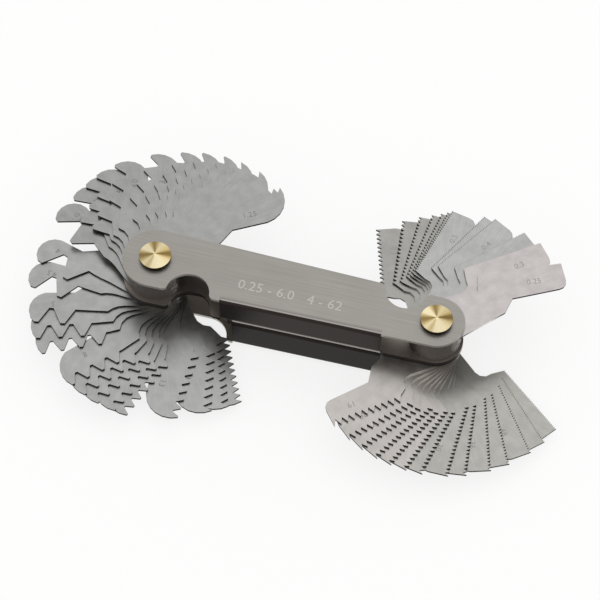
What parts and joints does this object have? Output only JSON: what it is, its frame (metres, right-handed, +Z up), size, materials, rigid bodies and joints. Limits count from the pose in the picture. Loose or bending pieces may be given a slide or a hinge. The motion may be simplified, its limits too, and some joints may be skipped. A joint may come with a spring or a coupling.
{
  "type": "thread pitch gauge",
  "caption": "Folded sheet steel case with toothed leaves that fan out on brass rivets at its ends, for matching the pitch of metric and inch screw threads.",
  "frame": {"origin": "centre of the flat foot of the left rivet, where the gauge rests", "axes": "+X along the case to the right rivet, +Z up along the rivets, the walls of the case at -Y"},
  "size_m": [0.1055, 0.0558, 0.0173],
  "materials": {
    "case_sheet": "ground satin",
    "leaf": "satin",
    "rivet": "turned"
  },
  "bodies": {
    "case": {"upper_channel": "case_sheet", "lower_channel": "case_sheet", "left_rivet": "rivet", "right_rivet": "rivet"},
    "metric_leaf_1_25": {"metric_leaf_1_25": "leaf"},
    "metric_leaf_1_5": {"metric_leaf_1_5": "leaf"},
    "metric_leaf_1_75": {"metric_leaf_1_75": "leaf"},
    "metric_leaf_2_0": {"metric_leaf_2_0": "leaf"},
    "metric_leaf_2_5": {"metric_leaf_2_5": "leaf"},
    "metric_leaf_3_0": {"metric_leaf_3_0": "leaf"},
    "metric_leaf_3_5": {"metric_leaf_3_5": "leaf"},
    "metric_leaf_4_0": {"metric_leaf_4_0": "leaf"},
    "metric_leaf_4_5": {"metric_leaf_4_5": "leaf"},
    "metric_leaf_5_0": {"metric_leaf_5_0": "leaf"},
    "metric_leaf_5_5": {"metric_leaf_5_5": "leaf"},
    "metric_leaf_6_0": {"metric_leaf_6_0": "leaf"},
    "metric_leaf_0_25": {"metric_leaf_0_25": "leaf"},
    "metric_leaf_0_3": {"metric_leaf_0_3": "leaf"},
    "metric_leaf_0_35": {"metric_leaf_0_35": "leaf"},
    "metric_leaf_0_4": {"metric_leaf_0_4": "leaf"},
    "metric_leaf_0_45": {"metric_leaf_0_45": "leaf"},
    "metric_leaf_0_5": {"metric_leaf_0_5": "leaf"},
    "metric_leaf_0_6": {"metric_leaf_0_6": "leaf"},
    "metric_leaf_0_7": {"metric_leaf_0_7": "leaf"},
    "metric_leaf_0_75": {"metric_leaf_0_75": "leaf"},
    "metric_leaf_0_8": {"metric_leaf_0_8": "leaf"},
    "metric_leaf_0_9": {"metric_leaf_0_9": "leaf"},
    "metric_leaf_1_0": {"metric_leaf_1_0": "leaf"},
    "inch_leaf_4": {"inch_leaf_4": "leaf"},
    "inch_leaf_4_5": {"inch_leaf_4_5": "leaf"},
    "inch_leaf_5": {"inch_leaf_5": "leaf"},
    "inch_leaf_6": {"inch_leaf_6": "leaf"},
    "inch_leaf_7": {"inch_leaf_7": "leaf"},
    "inch_leaf_8": {"inch_leaf_8": "leaf"},
    "inch_leaf_9": {"inch_leaf_9": "leaf"},
    "inch_leaf_10": {"inch_leaf_10": "leaf"},
    "inch_leaf_11": {"inch_leaf_11": "leaf"},
    "inch_leaf_12": {"inch_leaf_12": "leaf"},
    "inch_leaf_13": {"inch_leaf_13": "leaf"},
    "inch_leaf_14": {"inch_leaf_14": "leaf"},
    "inch_leaf_16": {"inch_leaf_16": "leaf"},
    "inch_leaf_18": {"inch_leaf_18": "leaf"},
    "inch_leaf_19": {"inch_leaf_19": "leaf"},
    "inch_leaf_20": {"inch_leaf_20": "leaf"},
    "inch_leaf_22": {"inch_leaf_22": "leaf"},
    "inch_leaf_24": {"inch_leaf_24": "leaf"},
    "inch_leaf_25": {"inch_leaf_25": "leaf"},
    "inch_leaf_26": {"inch_leaf_26": "leaf"},
    "inch_leaf_28": {"inch_leaf_28": "leaf"},
    "inch_leaf_30": {"inch_leaf_30": "leaf"},
    "inch_leaf_32": {"inch_leaf_32": "leaf"},
    "inch_leaf_36": {"inch_leaf_36": "leaf"},
    "inch_leaf_40": {"inch_leaf_40": "leaf"},
    "inch_leaf_48": {"inch_leaf_48": "leaf"},
    "inch_leaf_60": {"inch_leaf_60": "leaf"},
    "inch_leaf_62": {"inch_leaf_62": "leaf"}
  },
  "joints": [
    {"name": "metric_leaf_1_25_hinge", "type": "hinge", "parent": "case", "child": "metric_leaf_1_25", "pos_m": [0, 0, 0.01502], "axis": [0, 0, 1], "range_deg": [-48.4, 263.6]},
    {"name": "metric_leaf_1_5_hinge", "type": "hinge", "parent": "case", "child": "metric_leaf_1_5", "pos_m": [0, 0, 0.01455], "axis": [0, 0, 1], "range_deg": [-59.9, 252.1]},
    {"name": "metric_leaf_1_75_hinge", "type": "hinge", "parent": "case", "child": "metric_leaf_1_75", "pos_m": [0, 0, 0.01408], "axis": [0, 0, 1], "range_deg": [-68.7, 243.3]},
    {"name": "metric_leaf_2_0_hinge", "type": "hinge", "parent": "case", "child": "metric_leaf_2_0", "pos_m": [0, 0, 0.01361], "axis": [0, 0, 1], "range_deg": [-76.1, 235.9]},
    {"name": "metric_leaf_2_5_hinge", "type": "hinge", "parent": "case", "child": "metric_leaf_2_5", "pos_m": [0, 0, 0.01314], "axis": [0, 0, 1], "range_deg": [-85, 227]},
    {"name": "metric_leaf_3_0_hinge", "type": "hinge", "parent": "case", "child": "metric_leaf_3_0", "pos_m": [0, 0, 0.01266], "axis": [0, 0, 1], "range_deg": [-93.6, 218.4]},
    {"name": "metric_leaf_3_5_hinge", "type": "hinge", "parent": "case", "child": "metric_leaf_3_5", "pos_m": [0, 0, 0.01219], "axis": [0, 0, 1], "range_deg": [-106.1, 205.9]},
    {"name": "metric_leaf_4_0_hinge", "type": "hinge", "parent": "case", "child": "metric_leaf_4_0", "pos_m": [0, 0, 0.01172], "axis": [0, 0, 1], "range_deg": [-122, 190]},
    {"name": "metric_leaf_4_5_hinge", "type": "hinge", "parent": "case", "child": "metric_leaf_4_5", "pos_m": [0, 0, 0.01125], "axis": [0, 0, 1], "range_deg": [-131, 181]},
    {"name": "metric_leaf_5_0_hinge", "type": "hinge", "parent": "case", "child": "metric_leaf_5_0", "pos_m": [0, 0, 0.01078], "axis": [0, 0, 1], "range_deg": [-137, 175]},
    {"name": "metric_leaf_5_5_hinge", "type": "hinge", "parent": "case", "child": "metric_leaf_5_5", "pos_m": [0, 0, 0.01031], "axis": [0, 0, 1], "range_deg": [-144.8, 167.2]},
    {"name": "metric_leaf_6_0_hinge", "type": "hinge", "parent": "case", "child": "metric_leaf_6_0", "pos_m": [0, 0, 0.00984], "axis": [0, 0, 1], "range_deg": [-158, 154]},
    {"name": "metric_leaf_0_25_hinge", "type": "hinge", "parent": "case", "child": "metric_leaf_0_25", "pos_m": [0.055, 0, 0.01502], "axis": [0, 0, -1], "range_deg": [-130.8, 168.2]},
    {"name": "metric_leaf_0_3_hinge", "type": "hinge", "parent": "case", "child": "metric_leaf_0_3", "pos_m": [0.055, 0, 0.01455], "axis": [0, 0, -1], "range_deg": [-117.9, 181.1]},
    {"name": "metric_leaf_0_35_hinge", "type": "hinge", "parent": "case", "child": "metric_leaf_0_35", "pos_m": [0.055, 0, 0.01408], "axis": [0, 0, -1], "range_deg": [-109.7, 189.3]},
    {"name": "metric_leaf_0_4_hinge", "type": "hinge", "parent": "case", "child": "metric_leaf_0_4", "pos_m": [0.055, 0, 0.01361], "axis": [0, 0, -1], "range_deg": [-96.3, 202.7]},
    {"name": "metric_leaf_0_45_hinge", "type": "hinge", "parent": "case", "child": "metric_leaf_0_45", "pos_m": [0.055, 0, 0.01314], "axis": [0, 0, -1], "range_deg": [-91.7, 207.3]},
    {"name": "metric_leaf_0_5_hinge", "type": "hinge", "parent": "case", "child": "metric_leaf_0_5", "pos_m": [0.055, 0, 0.01266], "axis": [0, 0, -1], "range_deg": [-78.4, 220.6]},
    {"name": "metric_leaf_0_6_hinge", "type": "hinge", "parent": "case", "child": "metric_leaf_0_6", "pos_m": [0.055, 0, 0.01219], "axis": [0, 0, -1], "range_deg": [-76.6, 222.4]},
    {"name": "metric_leaf_0_7_hinge", "type": "hinge", "parent": "case", "child": "metric_leaf_0_7", "pos_m": [0.055, 0, 0.01172], "axis": [0, 0, -1], "range_deg": [-74.1, 224.9]},
    {"name": "metric_leaf_0_75_hinge", "type": "hinge", "parent": "case", "child": "metric_leaf_0_75", "pos_m": [0.055, 0, 0.01125], "axis": [0, 0, -1], "range_deg": [-70.4, 228.6]},
    {"name": "metric_leaf_0_8_hinge", "type": "hinge", "parent": "case", "child": "metric_leaf_0_8", "pos_m": [0.055, 0, 0.01078], "axis": [0, 0, -1], "range_deg": [-65.2, 233.8]},
    {"name": "metric_leaf_0_9_hinge", "type": "hinge", "parent": "case", "child": "metric_leaf_0_9", "pos_m": [0.055, 0, 0.01031], "axis": [0, 0, -1], "range_deg": [-58.1, 240.9]},
    {"name": "metric_leaf_1_0_hinge", "type": "hinge", "parent": "case", "child": "metric_leaf_1_0", "pos_m": [0.055, 0, 0.00984], "axis": [0, 0, -1], "range_deg": [-46.6, 252.4]},
    {"name": "inch_leaf_4_hinge", "type": "hinge", "parent": "case", "child": "inch_leaf_4", "pos_m": [0, 0, 0.00816], "axis": [0, 0, 1], "range_deg": [-180, 139]},
    {"name": "inch_leaf_4_5_hinge", "type": "hinge", "parent": "case", "child": "inch_leaf_4_5", "pos_m": [0, 0, 0.00768], "axis": [0, 0, 1], "range_deg": [-194, 125]},
    {"name": "inch_leaf_5_hinge", "type": "hinge", "parent": "case", "child": "inch_leaf_5", "pos_m": [0, 0, 0.00722], "axis": [0, 0, 1], "range_deg": [-212.4, 106.6]},
    {"name": "inch_leaf_6_hinge", "type": "hinge", "parent": "case", "child": "inch_leaf_6", "pos_m": [0, 0, 0.00675], "axis": [0, 0, 1], "range_deg": [-220.5, 98.5]},
    {"name": "inch_leaf_7_hinge", "type": "hinge", "parent": "case", "child": "inch_leaf_7", "pos_m": [0, 0, 0.00628], "axis": [0, 0, 1], "range_deg": [-228, 91]},
    {"name": "inch_leaf_8_hinge", "type": "hinge", "parent": "case", "child": "inch_leaf_8", "pos_m": [0, 0, 0.00581], "axis": [0, 0, 1], "range_deg": [-247.5, 71.5]},
    {"name": "inch_leaf_9_hinge", "type": "hinge", "parent": "case", "child": "inch_leaf_9", "pos_m": [0, 0, 0.00534], "axis": [0, 0, 1], "range_deg": [-254, 65]},
    {"name": "inch_leaf_10_hinge", "type": "hinge", "parent": "case", "child": "inch_leaf_10", "pos_m": [0, 0, 0.00487], "axis": [0, 0, 1], "range_deg": [-260.3, 58.7]},
    {"name": "inch_leaf_11_hinge", "type": "hinge", "parent": "case", "child": "inch_leaf_11", "pos_m": [0, 0, 0.00439], "axis": [0, 0, 1], "range_deg": [-267.5, 51.5]},
    {"name": "inch_leaf_12_hinge", "type": "hinge", "parent": "case", "child": "inch_leaf_12", "pos_m": [0, 0, 0.00392], "axis": [0, 0, 1], "range_deg": [-272.4, 46.6]},
    {"name": "inch_leaf_13_hinge", "type": "hinge", "parent": "case", "child": "inch_leaf_13", "pos_m": [0, 0, 0.00346], "axis": [0, 0, 1], "range_deg": [-292, 27]},
    {"name": "inch_leaf_14_hinge", "type": "hinge", "parent": "case", "child": "inch_leaf_14", "pos_m": [0, 0, 0.00298], "axis": [0, 0, 1], "range_deg": [-305.4, 13.6]},
    {"name": "inch_leaf_16_hinge", "type": "hinge", "parent": "case", "child": "inch_leaf_16", "pos_m": [0, 0, 0.00251], "axis": [0, 0, 1], "range_deg": [-312.4, 6.6]},
    {"name": "inch_leaf_18_hinge", "type": "hinge", "parent": "case", "child": "inch_leaf_18", "pos_m": [0, 0, 0.00204], "axis": [0, 0, 1], "range_deg": [-317.9, 1.1]},
    {"name": "inch_leaf_19_hinge", "type": "hinge", "parent": "case", "child": "inch_leaf_19", "pos_m": [0.055, 0, 0.00816], "axis": [0, 0, -1], "range_deg": [-296.6, 2.4]},
    {"name": "inch_leaf_20_hinge", "type": "hinge", "parent": "case", "child": "inch_leaf_20", "pos_m": [0.055, 0, 0.00768], "axis": [0, 0, -1], "range_deg": [-288.3, 10.7]},
    {"name": "inch_leaf_22_hinge", "type": "hinge", "parent": "case", "child": "inch_leaf_22", "pos_m": [0.055, 0, 0.00722], "axis": [0, 0, -1], "range_deg": [-281.8, 17.2]},
    {"name": "inch_leaf_24_hinge", "type": "hinge", "parent": "case", "child": "inch_leaf_24", "pos_m": [0.055, 0, 0.00675], "axis": [0, 0, -1], "range_deg": [-275.1, 23.9]},
    {"name": "inch_leaf_25_hinge", "type": "hinge", "parent": "case", "child": "inch_leaf_25", "pos_m": [0.055, 0, 0.00628], "axis": [0, 0, -1], "range_deg": [-269.1, 29.9]},
    {"name": "inch_leaf_26_hinge", "type": "hinge", "parent": "case", "child": "inch_leaf_26", "pos_m": [0.055, 0, 0.00581], "axis": [0, 0, -1], "range_deg": [-262.8, 36.2]},
    {"name": "inch_leaf_28_hinge", "type": "hinge", "parent": "case", "child": "inch_leaf_28", "pos_m": [0.055, 0, 0.00534], "axis": [0, 0, -1], "range_deg": [-256.4, 42.6]},
    {"name": "inch_leaf_30_hinge", "type": "hinge", "parent": "case", "child": "inch_leaf_30", "pos_m": [0.055, 0, 0.00487], "axis": [0, 0, -1], "range_deg": [-246.2, 52.8]},
    {"name": "inch_leaf_32_hinge", "type": "hinge", "parent": "case", "child": "inch_leaf_32", "pos_m": [0.055, 0, 0.00439], "axis": [0, 0, -1], "range_deg": [-238.8, 60.2]},
    {"name": "inch_leaf_36_hinge", "type": "hinge", "parent": "case", "child": "inch_leaf_36", "pos_m": [0.055, 0, 0.00392], "axis": [0, 0, -1], "range_deg": [-228.6, 70.4]},
    {"name": "inch_leaf_40_hinge", "type": "hinge", "parent": "case", "child": "inch_leaf_40", "pos_m": [0.055, 0, 0.00346], "axis": [0, 0, -1], "range_deg": [-220.4, 78.6]},
    {"name": "inch_leaf_48_hinge", "type": "hinge", "parent": "case", "child": "inch_leaf_48", "pos_m": [0.055, 0, 0.00298], "axis": [0, 0, -1], "range_deg": [-209.8, 89.2]},
    {"name": "inch_leaf_60_hinge", "type": "hinge", "parent": "case", "child": "inch_leaf_60", "pos_m": [0.055, 0, 0.00251], "axis": [0, 0, -1], "range_deg": [-202.1, 96.9]},
    {"name": "inch_leaf_62_hinge", "type": "hinge", "parent": "case", "child": "inch_leaf_62", "pos_m": [0.055, 0, 0.00204], "axis": [0, 0, -1], "range_deg": [-194, 105]}
  ]
}
